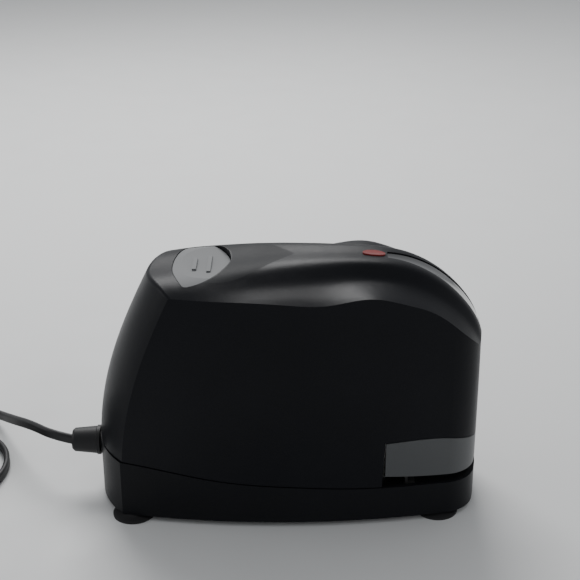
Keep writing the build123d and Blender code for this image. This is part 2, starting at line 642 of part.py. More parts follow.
# ---------------------------------------------------------------- hammer arm and driver
TIP_X = 80.0
TIP_R = 3.0
ARM_HALF = 3.0
with BuildPart() as hammer_arm:
    arm_under = [(ARM_X, 66.0), (-20, 58.5), (8, 58.5), (40, 66.5), (68, 71.6), (TIP_X, 71.6)]
    arm_over = [(TIP_X, 76.4), (68, 76.4), (40, 82.5), (8, 87.0), (-20, 87.0), (ARM_X, 82.0)]
    add(across(polygon(arm_under + arm_over), ARM_HALF, -ARM_HALF))
    add(rod(ARM_X, ARM_Z, 8.0, ARM_HALF, -ARM_HALF))
    add(rod(TIP_X, ARM_Z, TIP_R, ARM_HALF, -ARM_HALF))
    add(rod(ARM_X, ARM_Z, PIN_R + FIT, 4, -4), mode=Mode.SUBTRACT)
    with BuildSketch(xz(4)):
        with Locations((CAM_X, CAM_Z + THROW)):
            SlotOverall(20, 11.6)
        with Locations((24, 74), (44, 74.3)):
            Circle(4.0)
    extrude(amount=8, mode=Mode.SUBTRACT)
save(hammer_arm.part, "hammer_arm")

# plain bearings: the crank's flanged bush and the two collars beside the arm
with BuildPart() as bushes:
    add(rod(CAM_X, CAM_Z, BUSH_R, DISC_Y1 - LOOSE, GEAR_Y0 + LOOSE))
    add(rod(CAM_X, CAM_Z, BUSH_R + 2, DISC_Y1 - LOOSE, -PLATE_Y))
    add(rod(CAM_X, CAM_Z, SHAFT_R + FIT, 0, -20), mode=Mode.SUBTRACT)
    for y0, y1 in ((PLATE_Y, ARM_HALF + LOOSE), (-ARM_HALF - LOOSE, -PLATE_Y)):
        add(rod(ARM_X, ARM_Z, 4.6, y0, y1))
    add(rod(ARM_X, ARM_Z, PIN_R, PLATE_Y + 1, -PLATE_Y - 1), mode=Mode.SUBTRACT)
save(bushes.part, "bushes")

HOLDER_X0 = 78.0
with BuildPart() as driver_holder:
    add(bar(HOLDER_X0, BLADE_X0, -6.0, 6.0, 63.0, 84.0))
    add(bar(HOLDER_X0 - 1, 83.6, -3.6, 3.6, ARM_Z - TIP_R - 0.4, ARM_Z + TIP_R + 0.4), mode=Mode.SUBTRACT)
save(driver_holder.part, "driver_holder")

with BuildPart() as driver_blade:
    add(bar(BLADE_X0, BLADE_X1, -6.2, 6.2, BLADE_Z, 84.0))
save(driver_blade.part, "driver_blade")

with BuildPart() as driver_guide:
    add(bar(77.0, 88.0, -PLATE_Y, PLATE_Y, 42.5, 89.0))
    add(bar(76.0, BLADE_X1 + 0.3, -6.5, 6.5, 42.0, 95.0), mode=Mode.SUBTRACT)
    add(bar(76.0, 89.0, 9.0, 14.0, 84.0, 95.0), mode=Mode.SUBTRACT)
    add(bar(76.0, 89.0, -14.0, -9.0, 84.0, 95.0), mode=Mode.SUBTRACT)
save(driver_guide.part, "driver_guide")

# ---------------------------------------------------------------- magazine: fixed bed and sliding drawer
BED_X0, BED_X1 = -40.0, 57.0
with BuildPart() as magazine_bed:
    add(bar(BED_X0, BED_X1, -9.6, 9.6, 24.8, 36.0))
    add(bar(BED_X0 - 1, BED_X1 + 1, -8.0 - LOOSE, 8.0 + LOOSE, MAG_Z - LOOSE, 37.0), mode=Mode.SUBTRACT)
    for x in (-34.0, 20.0, 52.0):
        add(bar(x - 3, x + 3, -PLATE_Y, PLATE_Y, 23.3, 24.8))
save(magazine_bed.part, "magazine_bed")

CHANNEL_X0 = -17.0
CHANNEL_Y = 8.0
FLOOR_TOP = MAG_Z + 1.2
with BuildPart() as magazine_channel:
    add(bar(CHANNEL_X0, STRIP_X1, -CHANNEL_Y, CHANNEL_Y, MAG_Z, FLOOR_TOP))
    for y0 in (-CHANNEL_Y, CHANNEL_Y - 1.2):
        add(bar(CHANNEL_X0, 88.0, y0, y0 + 1.2, MAG_Z, 39.0))
    add(bar(CHANNEL_X0, CHANNEL_X0 + 1.5, -CHANNEL_Y, CHANNEL_Y, MAG_Z, 39.0))
    # tongue that keeps the drawer in its bed when it is out, slotted where the driver would pass
    add(bar(-58.0, CHANNEL_X0, -CHANNEL_Y, CHANNEL_Y, MAG_Z, FLOOR_TOP))
    add(bar(-21.0, CHANNEL_X0, -6.6, 6.6, MAG_Z - 1, FLOOR_TOP + 1), mode=Mode.SUBTRACT)
    add(bar(-26.5, -24.5, 3.5, 7.5, FLOOR_TOP, 31.0))
save(magazine_channel.part, "magazine_channel")

RAIL_TOP = 36.0
with BuildPart() as staple_rail:
    add(bar(-12.0, STRIP_X1, -5.4, 5.4, FLOOR_TOP, RAIL_TOP))
    add(bar(-13.0, STRIP_X1 + 1, -4.6, 4.6, FLOOR_TOP - 1, RAIL_TOP - 0.8), mode=Mode.SUBTRACT)
    add(bar(-13.0, 80.0, -1.2, 1.2, RAIL_TOP - 2, RAIL_TOP + 1), mode=Mode.SUBTRACT)
save(staple_rail.part, "staple_rail")

with BuildPart() as staple_strip:
    add(bar(STRIP_X0, STRIP_X1, -6.35, 6.35, 30.2, RAIL_TOP + 0.6))
    add(bar(STRIP_X0 - 1, STRIP_X1 + 1, -5.85, 5.85, 29.0, RAIL_TOP), mode=Mode.SUBTRACT)
save(staple_strip.part, "staple_strip")

PUSHER_X0, PUSHER_X1 = 14.0, STRIP_X0 - 0.1
ROD_R, ROD_Z = 1.0, 31.4
with BuildPart() as staple_pusher:
    add(bar(PUSHER_X0, PUSHER_X1, -6.5, 6.5, 28.4, 38.4))
    add(bar(PUSHER_X0 - 1, PUSHER_X1 + 1, -5.6, 5.6, 28.0, RAIL_TOP + 0.2), mode=Mode.SUBTRACT)
    add(bar(PUSHER_X0, PUSHER_X0 + 4, -1.0, 1.0, ROD_Z + 1.5, RAIL_TOP + 1))
    add(lengthwise(PUSHER_X0, PUSHER_X0 + 4, 0, ROD_Z, 2.8))
    add(lengthwise(PUSHER_X0 - 1, PUSHER_X0 + 5, 0, ROD_Z, ROD_R + FIT), mode=Mode.SUBTRACT)
save(staple_pusher.part, "staple_pusher")

with BuildPart() as pusher_rod:
    add(lengthwise(CHANNEL_X0 + 1.5, 84.0, 0, ROD_Z, ROD_R))
save(pusher_rod.part, "pusher_rod")


def coil_spring(x, y, z, direction, radius, wire_r, length, turns):
    """A round-wire coil starting at x, y, z and running along direction, its ends left plain."""
    pitch = (length - 2 * wire_r - 0.1) / turns
    start = Vector(x, y, z) + Vector(*direction) * (wire_r + 0.05)
    path = Helix(pitch=pitch, height=pitch * turns, radius=radius, center=start, direction=direction)
    with BuildPart() as coil:
        with BuildSketch(Plane(origin=path @ 0, z_dir=path % 0)):
            Circle(wire_r)
        sweep(path=path, is_frenet=True)
    return coil.part


PUSHER_SPRING_X = CHANNEL_X0 + 1.5
pusher_spring = coil_spring(PUSHER_SPRING_X, 0, ROD_Z, (1, 0, 0), 2.0, 0.3, PUSHER_X0 - PUSHER_SPRING_X, 12)
save(pusher_spring, "pusher_spring")

with BuildPart() as striker_plate:
    add(bar(86.6, 88.0, -CHANNEL_Y + 1.2, CHANNEL_Y - 1.2, MAG_Z, 40.0))
save(striker_plate.part, "striker_plate")


def above_band_foot():
    """Block above the lower edge of the grey front."""
    with BuildPart() as block:
        with BuildSketch(xz(60)):
            with BuildLine():
                foot_line = Spline([(110, 25.0)] + BAND_FOOT[1:] + [(40.0, 27.2)])
                Polyline(foot_line @ 1, (40, 90), (110, 90), foot_line @ 0)
            make_face()
        extrude(amount=120)
    return block.part


with BuildPart() as magazine_front:
    add(housing_prism())
    add(notch_block(0), mode=Mode.INTERSECT)
    add(above_band_foot(), mode=Mode.INTERSECT)
    add(bar(30, BAND_X, -50, 50, 0, 60), mode=Mode.SUBTRACT)
    add(housing_prism(WALL), mode=Mode.SUBTRACT)
    add(bar(88.0, 93.0, -9.0, 9.0, MAG_Z, 37.5))
save(magazine_front.part, "magazine_front")

# ---------------------------------------------------------------- pins and screws of the frame
with BuildPart() as pivot_pins:
    add(rod(ARM_X, ARM_Z, PIN_R, PLATE_Y + PLATE_T + 1, -PLATE_Y - PLATE_T - 1))
    add(rod(LATCH_X, LATCH_Z, LATCH_PIN_R, PLATE_Y + PLATE_T + 1, -PLATE_Y - PLATE_T - 1))
    add(rod(TRIGGER_X, TRIGGER_Z, TRIGGER_PIN_R, -PLATE_Y, -22.0))
    # idler axle with its shoulder and retaining washer
    add(rod(IDLER_X, IDLER_Z, IDLER_PIN_R, -PLATE_Y, WHEEL_Y1 - 1.2))
    add(rod(IDLER_X, IDLER_Z, 4.0, WHEEL_Y1 - 0.3, WHEEL_Y1 - 1.1))
    add(rod(IDLER_X, IDLER_Z, 4.0, -PLATE_Y - PLATE_T, SLOW_Y0 + 0.3))
save(pivot_pins.part, "pivot_pins")

BOARD_Y = 20.0
BOARD_T = 1.6
STANDOFFS = [(-12.0, 60.0), (50.0, 60.0), (-12.0, 91.0), (50.0, 94.0)]
with BuildPart() as frame_screws:
    for x, y in FLANGE_SCREWS_RIGHT + FLANGE_SCREWS_LEFT:
        add(upright(x, y, HEAD_R, DECK_TOP + PLATE_T, DECK_TOP + PLATE_T + 1.8))
        add(upright(x, y, SCREW_R, DECK_TOP, DECK_TOP + PLATE_T))
    for dz in (-MOTOR_SCREW_OFFSET, MOTOR_SCREW_OFFSET):
        head_y = -PLATE_Y - PLATE_T
        add(rod(MOTOR_X, MOTOR_Z + dz, HEAD_R, head_y, head_y - 1.6))
        add(rod(MOTOR_X, MOTOR_Z + dz, SCREW_R, CAN_FRONT + 1.5, head_y))
    for x, z in STANDOFFS:
        add(rod(x, z, HEAD_R, BOARD_Y + BOARD_T + 1.6, BOARD_Y + BOARD_T))
save(frame_screws.part, "frame_screws")

# ---------------------------------------------------------------- release button and latch
STEM_X, STEM_R = -48.0, 4.0
CAP_Z = 113.0
CAP_HOLLOW = 3.2        # depth of the hollow under the button's cap
BRACKET_Z = 104.0
RIBS = [(-44.6, 14.1), (-37.6, 19.3)]
BAR_X0, BAR_X1 = -42.0, -39.5
BAR_Y0, BAR_Y1 = 3.5, 7.5

with BuildPart() as release_button:
    add(prism(button_outline(), CAP_Z, 20) & crown_solid(0.3))
    add(Pos(-41.5, 0, 241.0) * Sphere(119.2, mode=Mode.PRIVATE), mode=Mode.SUBTRACT)
    for rib_x, rib_long in RIBS:
        add(bar(rib_x - 0.95, rib_x + 0.95, -rib_long / 2, rib_long / 2, 120, 123.0))
    add(prism(button_outline(-2.0), CAP_Z, CAP_HOLLOW), mode=Mode.SUBTRACT)
    add(upright(STEM_X, 0, STEM_R, 97.0, CAP_Z + 6.5))
    # bar that reaches down to the latch lever
    add(bar(BAR_X0, BAR_X1, BAR_Y0, BAR_Y1, 46.5, CAP_Z + 6.5))
save(release_button.part, "release_button")

with BuildPart() as button_bracket:
    add(bar(-54.0, -24.0, -PLATE_Y - PLATE_T, PLATE_Y + PLATE_T, BRACKET_Z, BRACKET_Z + 1.6))
    for y0 in (-PLATE_Y - PLATE_T, PLATE_Y):
        add(bar(-36.0, -24.0, y0, y0 + PLATE_T, 96.0, BRACKET_Z))
    add(upright(STEM_X, 0, STEM_R + FIT, 100, 110), mode=Mode.SUBTRACT)
    add(bar(BAR_X0 - 0.4, BAR_X1 + 0.4, BAR_Y0 - 0.4, BAR_Y1 + 0.4, 100, 110), mode=Mode.SUBTRACT)
save(button_bracket.part, "button_bracket")

BUTTON_SPRING_Z = BRACKET_Z + 1.6
BUTTON_SPRING_LONG = CAP_Z + CAP_HOLLOW - BUTTON_SPRING_Z
button_spring = coil_spring(STEM_X, 0, BUTTON_SPRING_Z, (0, 0, 1), 5.2, 0.4, BUTTON_SPRING_LONG, 5)
save(button_spring, "button_spring")

with BuildPart() as latch_lever:
    latch_tail = [(-34, 42.5), (-42.5, 42.5), (-42.5, 46.0), (-32, 46.0), (-26, 44.5), (-20.5, 40.0)]
    latch_hook = [(-20.5, 31.3), (-23.5, 31.3), (-23.5, 36.5), (-27, 38.5), (-32, 39.5)]
    add(across(polygon(latch_tail + latch_hook), BAR_Y1, BAR_Y0))
    add(rod(LATCH_X, LATCH_Z, LATCH_PIN_R + FIT, 9, 2), mode=Mode.SUBTRACT)
save(latch_lever.part, "latch_lever")

# ---------------------------------------------------------------- paper sensing
LEVER_Y0, LEVER_Y1 = -18.0, -19.6
with BuildPart() as paper_trigger:
    lever_head = [(50.5, 35.5), (50.5, 46), (52.5, 46), (55.5, 41)]
    lever_tip = [(62.5, 24), (62.0, 20.6), (60.2, 20.6), (58.6, 24)]
    add(across(polygon(lever_head + lever_tip), LEVER_Y0, LEVER_Y1))
    add(rod(TRIGGER_X, TRIGGER_Z, TRIGGER_PIN_R + FIT, -17, -21), mode=Mode.SUBTRACT)
save(paper_trigger.part, "paper_trigger")

with BuildPart() as trigger_switch:
    add(bar(34.0, 48.5, -22.5, -PLATE_Y - PLATE_T, 38.0, 47.0))
    add(bar(48.5, 49.5, -20.0, -18.0, 43.0, 45.0))
save(trigger_switch.part, "trigger_switch")

with BuildPart() as paper_stop:
    add(bar(57.2, 58.4, -30.0, 30.0, DECK_TOP, 24.0))
    add(bar(58.4, 62.0, -30.0, 30.0, DECK_TOP, DECK_TOP + 1.0))
    # gap in which the trigger swings
    add(bar(57.0, 62.2, LEVER_Y1 - 2.2, LEVER_Y0 + 2.2, DECK_TOP, 24.0), mode=Mode.SUBTRACT)
save(paper_stop.part, "paper_stop")

with BuildPart() as anvil_plate:
    add(bar(77.0, 90.0, -11.0, 11.0, DECK_TOP, DECK_TOP + 1.3))
    for y in (-3.4, 3.4):
        add(rod(86.0, DECK_TOP + 1.5, 1.1, y + 2.7, y - 2.7), mode=Mode.SUBTRACT)
save(anvil_plate.part, "anvil_plate")

# ---------------------------------------------------------------- circuit board
with BuildPart() as board_standoffs:
    for x, z in STANDOFFS:
        add(rod(x, z, 2.5, BOARD_Y, PLATE_Y + PLATE_T))
save(board_standoffs.part, "board_standoffs")

with BuildPart() as circuit_board:
    add(bar(-18.0, 56.0, BOARD_Y, BOARD_Y + BOARD_T, 54.0, 98.0))
save(circuit_board.part, "circuit_board")

with BuildPart() as board_relay:
    add(bar(18.0, 34.0, BOARD_Y + BOARD_T, BOARD_Y + 12.0, 62.0, 76.0))
save(board_relay.part, "board_relay")

with BuildPart() as board_capacitors:
    for x in (-4.0, 8.0):
        add(rod(x, 80.0, 4.5, BOARD_Y + 12.5, BOARD_Y + BOARD_T))
    add(rod(42.0, 84.0, 3.5, BOARD_Y + 9.0, BOARD_Y + BOARD_T))
save(board_capacitors.part, "board_capacitors")

with BuildPart() as board_choke:
    add(rod(0.0, 66.0, 5.5, BOARD_Y + 7.6, BOARD_Y + BOARD_T) - rod(0.0, 66.0, 2.5, BOARD_Y + 9.0, BOARD_Y))
save(board_choke.part, "board_choke")

# ---------------------------------------------------------------- mains lead
CORD_D = 5.4            # width of the flat twin lead
CORD_R = CORD_D / 2
RELIEF_FLANGE, RELIEF_TIP = -95.2, -109.5
with BuildPart() as strain_relief:
    with BuildSketch(Plane.XZ):
        with BuildLine():
            Polyline(
                (RELIEF_TIP, CORD_Z),
                (RELIEF_TIP, CORD_Z + 5.0),
                (RELIEF_TIP + 1.2, CORD_Z + 6.0),
                (RELIEF_FLANGE - 2.0, CORD_Z + 7.0),
                (RELIEF_FLANGE - 1.6, CORD_Z + 7.5),
                (RELIEF_FLANGE, CORD_Z + 7.5),
                (RELIEF_FLANGE, CORD_Z + 4.5),
                (-90.0, CORD_Z + 4.5),
                (-90.0, CORD_Z),
                close=True,
            )
        make_face()
    revolve(axis=Axis((0, 0, CORD_Z), (1, 0, 0)))
save(strain_relief.part, "strain_relief")

COIL_X, COIL_Y = -186.5, 10.0
LOOP_R = 39.6           # loose outer turn
COIL_OUT, COIL_IN, COIL_H = 35.5, 18.5, 11.0
ROUTE = [
    (RELIEF_TIP, 0, CORD_Z),
    (-120.5, 1.5, 27.4),
    (-134.0, 17.0, 24.2),
    (-149.0, 38.0, 15.5),
    (-163.0, 63.0, 4.4),
    (-184.0, 78.0, CORD_R),
    (-210.0, 72.0, CORD_R),
    (-225.5, 50.0, CORD_R),
    (-228.0, 27.0, CORD_R),
]
LOOP_STEPS = 12
LOOP_START = 182.0
LOOP_SWEEP = 330.0
for k in range(LOOP_STEPS):
    angle = radians(LOOP_START + LOOP_SWEEP * k / (LOOP_STEPS - 1))
    shrink = 3.4 * max(0.0, (k - 7) / (LOOP_STEPS - 8))
    ROUTE.append((COIL_X + (LOOP_R - shrink) * cos(angle), COIL_Y + (LOOP_R - shrink) * sin(angle), CORD_R))


def bend_radii(route):
    """The largest arc that each corner's two runs leave room for."""
    radii = []
    for before, corner, after in zip(route, route[1:], route[2:]):
        arriving = Vector(*corner) - Vector(*before)
        leaving = Vector(*after) - Vector(*corner)
        turn = radians(arriving.get_angle(leaving))
        radii.append(0.45 * min(arriving.length, leaving.length) / tan(turn / 2))
    return radii


def lead_tube(route, radius, label):
    """A round tube along straight runs joined by tangent arcs."""
    radii = bend_radii(route)
    with BuildPart() as tube:
        with BuildLine() as path:
            FilletPolyline(*route, radius=radii)
        with BuildSketch(Plane(origin=path.line @ 0, z_dir=path.line % 0)):
            Circle(radius)
        sweep()
    length = sum(edge.length for edge in path.line.edges())
    ratio = tube.part.volume / (pi * radius ** 2 * length)
    print(label, "radii", [round(r) for r in radii])
    print(label, "length", round(length, 1), "volume ratio", round(ratio, 4))
    return tube.part


save(lead_tube(ROUTE, CORD_R, "power_cord"), "power_cord")

with BuildPart() as cord_coil:
    with BuildSketch(Plane(origin=(COIL_X, COIL_Y, 0), x_dir=(1, 0, 0), z_dir=(0, -1, 0))):
        with Locations(((COIL_OUT + COIL_IN) / 2, COIL_H / 2)):
            RectangleRounded(COIL_OUT - COIL_IN, COIL_H, 2.4)
    revolve(axis=Axis((COIL_X, COIL_Y, 0), (0, 0, 1)))
save(cord_coil.part, "cord_coil")

# plug lying on the coil, its lead coming off the top turn
PLUG_Z = COIL_H + 6.0
PLUG_X, PLUG_Y = -216.0, 12.0
with BuildPart() as plug_body:
    with BuildSketch(Plane.XZ.offset(-PLUG_Y - 12)):
        with Locations((PLUG_X, PLUG_Z)):
            RectangleRounded(19.0, 12.0, 4.0)
    with BuildSketch(Plane.XZ.offset(-PLUG_Y + 10)):
        with Locations((PLUG_X, PLUG_Z)):
            RectangleRounded(24.0, 12.0, 4.0)
    loft()
    # tapered relief where the lead comes out
    with BuildSketch(Plane.XZ.offset(-PLUG_Y - 12)):
        with Locations((PLUG_X, PLUG_Z)):
            Circle(5.2)
    with BuildSketch(Plane.XZ.offset(-PLUG_Y - 24)):
        with Locations((PLUG_X, PLUG_Z)):
            Circle(3.4)
    loft()
save(plug_body.part, "plug_body")

with BuildPart() as plug_blades:
    for dx in (-6.35, 6.35):
        blade_x = PLUG_X + dx
        add(bar(blade_x - 0.75, blade_x + 0.75, PLUG_Y - 26.0, PLUG_Y - 10.0, PLUG_Z - 3.2, PLUG_Z + 3.2))
save(plug_blades.part, "plug_blades")

PLUG_BACK = PLUG_Y + 12
PLUG_ROUTE = [
    (PLUG_X, PLUG_BACK + 12, PLUG_Z),
    (PLUG_X + 1.0, PLUG_BACK + 20, PLUG_Z - 1.6),
    (PLUG_X + 8.0, PLUG_BACK + 26, PLUG_Z - 4.0),
    (PLUG_X + 17.0, PLUG_BACK + 25, PLUG_Z - 7.0),
]
save(lead_tube(PLUG_ROUTE, CORD_R, "plug_lead"), "plug_lead")
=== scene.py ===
"""Looks of a mains-powered desk stapler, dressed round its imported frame.

Lengths are in metres. +X is the nose where paper goes in, +Y the left side and +Z up.
"""
import logging
import math
from dataclasses import dataclass, field
from enum import Enum
from typing import Any

import bpy
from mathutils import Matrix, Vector


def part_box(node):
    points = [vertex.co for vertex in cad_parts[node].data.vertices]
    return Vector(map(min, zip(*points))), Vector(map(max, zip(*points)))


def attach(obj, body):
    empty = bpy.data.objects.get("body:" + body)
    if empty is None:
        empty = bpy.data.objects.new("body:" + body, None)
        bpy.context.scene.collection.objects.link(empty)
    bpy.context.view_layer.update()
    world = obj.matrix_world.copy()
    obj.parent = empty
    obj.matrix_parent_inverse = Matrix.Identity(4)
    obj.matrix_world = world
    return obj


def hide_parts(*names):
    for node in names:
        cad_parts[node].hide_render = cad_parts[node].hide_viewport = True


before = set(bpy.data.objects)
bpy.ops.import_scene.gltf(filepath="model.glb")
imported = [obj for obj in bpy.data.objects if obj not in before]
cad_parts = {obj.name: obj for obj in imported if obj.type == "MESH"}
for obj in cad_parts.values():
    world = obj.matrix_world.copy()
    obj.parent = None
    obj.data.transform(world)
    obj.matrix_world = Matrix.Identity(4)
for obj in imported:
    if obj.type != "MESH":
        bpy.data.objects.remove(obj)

log = logging.getLogger("stapler")
Colour = tuple[float, float, float]
Point = tuple[float, float, float]
Layer = tuple[float, float, float]
MM = 0.001

# sockets of a colour mix, by number because their names repeat
MIX_SHARE, MIX_FIRST, MIX_SECOND, MIX_RESULT = 0, 6, 7, 2
# a noise pattern's useful range, and repeats in a metre of the slow colour and gloss changes
NOISE_LOW, NOISE_HIGH = 0.3, 0.7
CLOUDS = 14.0
SMEARS = 45.0
BUMP_STRENGTH = 0.8
COAT_ROUGHNESS = 0.12


class Grain(Enum):
    """How the fine structure of a surface runs."""

    STIPPLE = "stipple"
    SATIN = "satin"
    BRUSHED_X = "brushed along x"
    BRUSHED_Z = "brushed along z"
    SPANGLE = "zinc spangle"
    TURNED = "turned about y"
    WOUND = "wound wire"
    TRACKS = "board tracks"


class Graph:
    """The nodes of one material, with the object's own coordinates ready to use."""

    def __init__(self, name: str) -> None:
        """Starts a node material.

        Args:
            name: what the material is called.
        """
        self.material = bpy.data.materials.new(name)
        self.material.use_nodes = True
        self.tree = self.material.node_tree
        self.shader = self.tree.nodes["Principled BSDF"]
        self.place = self.add("ShaderNodeTexCoord").outputs["Object"]

    def add(self, kind: str, inputs: dict[Any, Any] | None = None, **settings: Any) -> bpy.types.Node:
        """Adds a node.

        Args:
            kind: the node's type.
            inputs: a value or another node's socket for each input, by name or number.
            settings: the node's own properties.

        Returns:
            The new node.
        """
        node = self.tree.nodes.new(kind)
        for key, value in settings.items():
            setattr(node, key, value)
        for key, value in (inputs or {}).items():
            self.feed(node.inputs[key], value)
        return node

    def feed(self, socket: bpy.types.NodeSocket, value: Any) -> None:
        """Joins another node's socket to this one, or sets its value."""
        if isinstance(value, bpy.types.NodeSocket):
            self.tree.links.new(value, socket)
        else:
            socket.default_value = value

    def noise(self, scale: float, detail: float = 2.0, stretch: Point = (1, 1, 1)) -> bpy.types.NodeSocket:
        """A cloudy pattern from 0 to 1.

        Args:
            scale: repeats in a metre.
            detail: how many finer layers are added.
            stretch: how much finer the pattern is along each axis.

        Returns:
            The pattern's socket.
        """
        place = self.place
        if stretch != (1, 1, 1):
            place = self.add("ShaderNodeMapping", {"Vector": place, "Scale": stretch}).outputs[0]
        return self.add("ShaderNodeTexNoise", {"Vector": place, "Scale": scale, "Detail": detail}).outputs[0]

    def math(self, operation: str, *values: Any) -> bpy.types.NodeSocket:
        """The result of one sum on sockets or numbers."""
        node = self.add("ShaderNodeMath", dict(enumerate(values)), operation=operation)
        node.use_clamp = operation == "ADD"
        return node.outputs[0]

    def join(self, first: Any, weight: float, second: Any, other_weight: float) -> bpy.types.NodeSocket:
        """Two patterns added together, each with its own weight."""
        weighted = self.math("MULTIPLY", first, weight)
        return self.math("ADD", weighted, self.math("MULTIPLY", second, other_weight))

    def between(self, value: Any, low: float, high: float) -> bpy.types.NodeSocket:
        """A pattern stretched from the middle of its range on to low and high."""
        source = {"Value": value, "From Min": NOISE_LOW, "From Max": NOISE_HIGH}
        return self.add("ShaderNodeMapRange", {**source, "To Min": low, "To Max": high}).outputs[0]

    def blend(self, share: Any, first: Colour, second: Colour) -> bpy.types.NodeSocket:
        """A colour between two others."""
        inputs = {MIX_SHARE: share, MIX_FIRST: (*first, 1), MIX_SECOND: (*second, 1)}
        return self.add("ShaderNodeMix", inputs, data_type="RGBA").outputs[MIX_RESULT]


@dataclass(frozen=True)
class Finish:
    """One finish of the stapler.

    Attributes:
        name: what the finish is called.
        grain: the pattern of its fine structure.
        dark: colour in the hollows of the grain.
        light: colour on its tops.
        rough: roughness where the surface is smoothest and roughest.
        cell: size of one grain.
        depth: height of the grain.
        metal: 1 for bare metal.
        coat: strength of a clear top layer.
        clear: share of light that passes through.
        gloss: strength of the plain reflection.
    """

    name: str
    grain: Grain
    dark: Colour
    light: Colour
    rough: tuple[float, float]
    cell: float
    depth: float
    metal: float = 0.0
    coat: float = 0.0
    clear: float = 0.0
    gloss: float = 0.5

    def pattern(self, graph: Graph) -> bpy.types.NodeSocket:
        """The fine structure's height, from 0 to 1."""
        scale = 1 / self.cell
        if self.grain is Grain.STIPPLE:
            cells = graph.add("ShaderNodeTexVoronoi", {"Vector": graph.place, "Scale": scale})
            return graph.join(cells.outputs["Distance"], 0.5, graph.noise(scale), 0.6)
        if self.grain is Grain.BRUSHED_X:
            return graph.noise(scale, 3.0, (0.03, 1, 1))
        if self.grain is Grain.BRUSHED_Z:
            return graph.noise(scale, 3.0, (1, 1, 0.03))
        if self.grain is Grain.TURNED:
            return graph.noise(scale, 2.0, (0.08, 1, 0.08))
        if self.grain is Grain.SPANGLE:
            cells = graph.add("ShaderNodeTexVoronoi", {"Vector": graph.place, "Scale": scale})
            grey = graph.add("ShaderNodeRGBToBW", {0: cells.outputs["Color"]}).outputs[0]
            return graph.join(grey, 0.5, graph.noise(scale * 6), 0.5)
        if self.grain is Grain.WOUND:
            inputs = {"Vector": graph.place, "Scale": scale / 3, "Distortion": 0.6}
            return graph.add("ShaderNodeTexWave", inputs, bands_direction="Y").outputs["Fac"]
        if self.grain is Grain.TRACKS:
            turned = graph.add("ShaderNodeMapping", {"Vector": graph.place, "Rotation": (math.pi / 2, 0, 0)})
            sizes = {"Vector": turned.outputs[0], "Scale": scale, "Mortar Size": 0.06, "Row Height": 0.5}
            return graph.add("ShaderNodeTexBrick", {**sizes, "Brick Width": 1.6}).outputs["Fac"]
        return graph.noise(scale, 4.0)

    def material(self) -> bpy.types.Material:
        """Builds the node material, once for each finish."""
        known = bpy.data.materials.get(self.name)
        if known:
            return known
        graph = Graph(self.name)
        fine = self.pattern(graph)
        share = graph.join(fine, 0.55, graph.noise(CLOUDS, 4.0), 0.45)
        colour = graph.blend(graph.between(share, 0.0, 1.0), self.dark, self.light)
        graph.feed(graph.shader.inputs["Base Color"], colour)
        smear = graph.join(fine, 0.6, graph.noise(SMEARS, 3.0), 0.4)
        graph.feed(graph.shader.inputs["Roughness"], graph.between(smear, *self.rough))
        height = {"Height": fine, "Distance": self.depth, "Strength": BUMP_STRENGTH}
        bump = graph.add("ShaderNodeBump", height)
        graph.feed(graph.shader.inputs["Normal"], bump.outputs[0])
        for name, value in (
            ("Metallic", self.metal), ("Coat Weight", self.coat), ("Coat Roughness", COAT_ROUGHNESS),
            ("Transmission Weight", self.clear), ("Specular IOR Level", self.gloss),
        ):
            graph.shader.inputs[name].default_value = value
        return graph.material


HOUSING_BLACK = Finish("housing_black", Grain.STIPPLE, (0.004, 0.0045, 0.006), (0.009, 0.0095, 0.012),
                       (0.30, 0.44), 0.45 * MM, 0.035 * MM, gloss=0.12)
BASE_BLACK = Finish("base_black", Grain.STIPPLE, (0.004, 0.0045, 0.0055), (0.010, 0.0105, 0.0125),
                    (0.32, 0.46), 0.45 * MM, 0.035 * MM, gloss=0.12)
LEAF_BLACK = Finish("leaf_black", Grain.SATIN, (0.009, 0.010, 0.012), (0.013, 0.014, 0.016),
                    (0.46, 0.58), 0.6 * MM, 0.004 * MM, gloss=0.1)
STRIP_BLACK = Finish("strip_black", Grain.SATIN, (0.004, 0.004, 0.005), (0.007, 0.007, 0.008),
                     (0.08, 0.16), 2.0 * MM, 0.002 * MM, coat=0.6)
FRONT_GREY = Finish("front_grey", Grain.STIPPLE, (0.058, 0.061, 0.063), (0.074, 0.078, 0.081),
                    (0.32, 0.46), 0.35 * MM, 0.015 * MM)
BUTTON_GREY = Finish("button_grey", Grain.STIPPLE, (0.075, 0.077, 0.080), (0.100, 0.102, 0.106),
                     (0.42, 0.56), 0.3 * MM, 0.012 * MM, gloss=0.3)
LENS_RED = Finish("lens_red", Grain.SATIN, (0.22, 0.012, 0.012), (0.42, 0.045, 0.04),
                  (0.06, 0.12), 3.0 * MM, 0.01 * MM, coat=0.3, clear=0.35)
LAMP_RED = Finish("lamp_red", Grain.SATIN, (0.45, 0.03, 0.03), (0.6, 0.08, 0.06),
                  (0.1, 0.2), 2.0 * MM, 0.005 * MM, clear=0.3)
FOOT_RUBBER = Finish("foot_rubber", Grain.STIPPLE, (0.010, 0.010, 0.011), (0.018, 0.018, 0.019),
                     (0.62, 0.82), 0.5 * MM, 0.03 * MM, gloss=0.35)
RELIEF_RUBBER = Finish("relief_rubber", Grain.STIPPLE, (0.005, 0.005, 0.006), (0.009, 0.009, 0.010),
                       (0.45, 0.62), 0.4 * MM, 0.02 * MM, gloss=0.4)
LEAD_SHEATH = Finish("lead_sheath", Grain.SATIN, (0.009, 0.009, 0.010), (0.014, 0.014, 0.015),
                     (0.42, 0.58), 1.2 * MM, 0.02 * MM, gloss=0.4)
BRUSHED_STEEL = Finish("brushed_steel", Grain.BRUSHED_X, (0.40, 0.41, 0.42), (0.58, 0.59, 0.60),
                       (0.24, 0.42), 0.25 * MM, 0.006 * MM, metal=1)
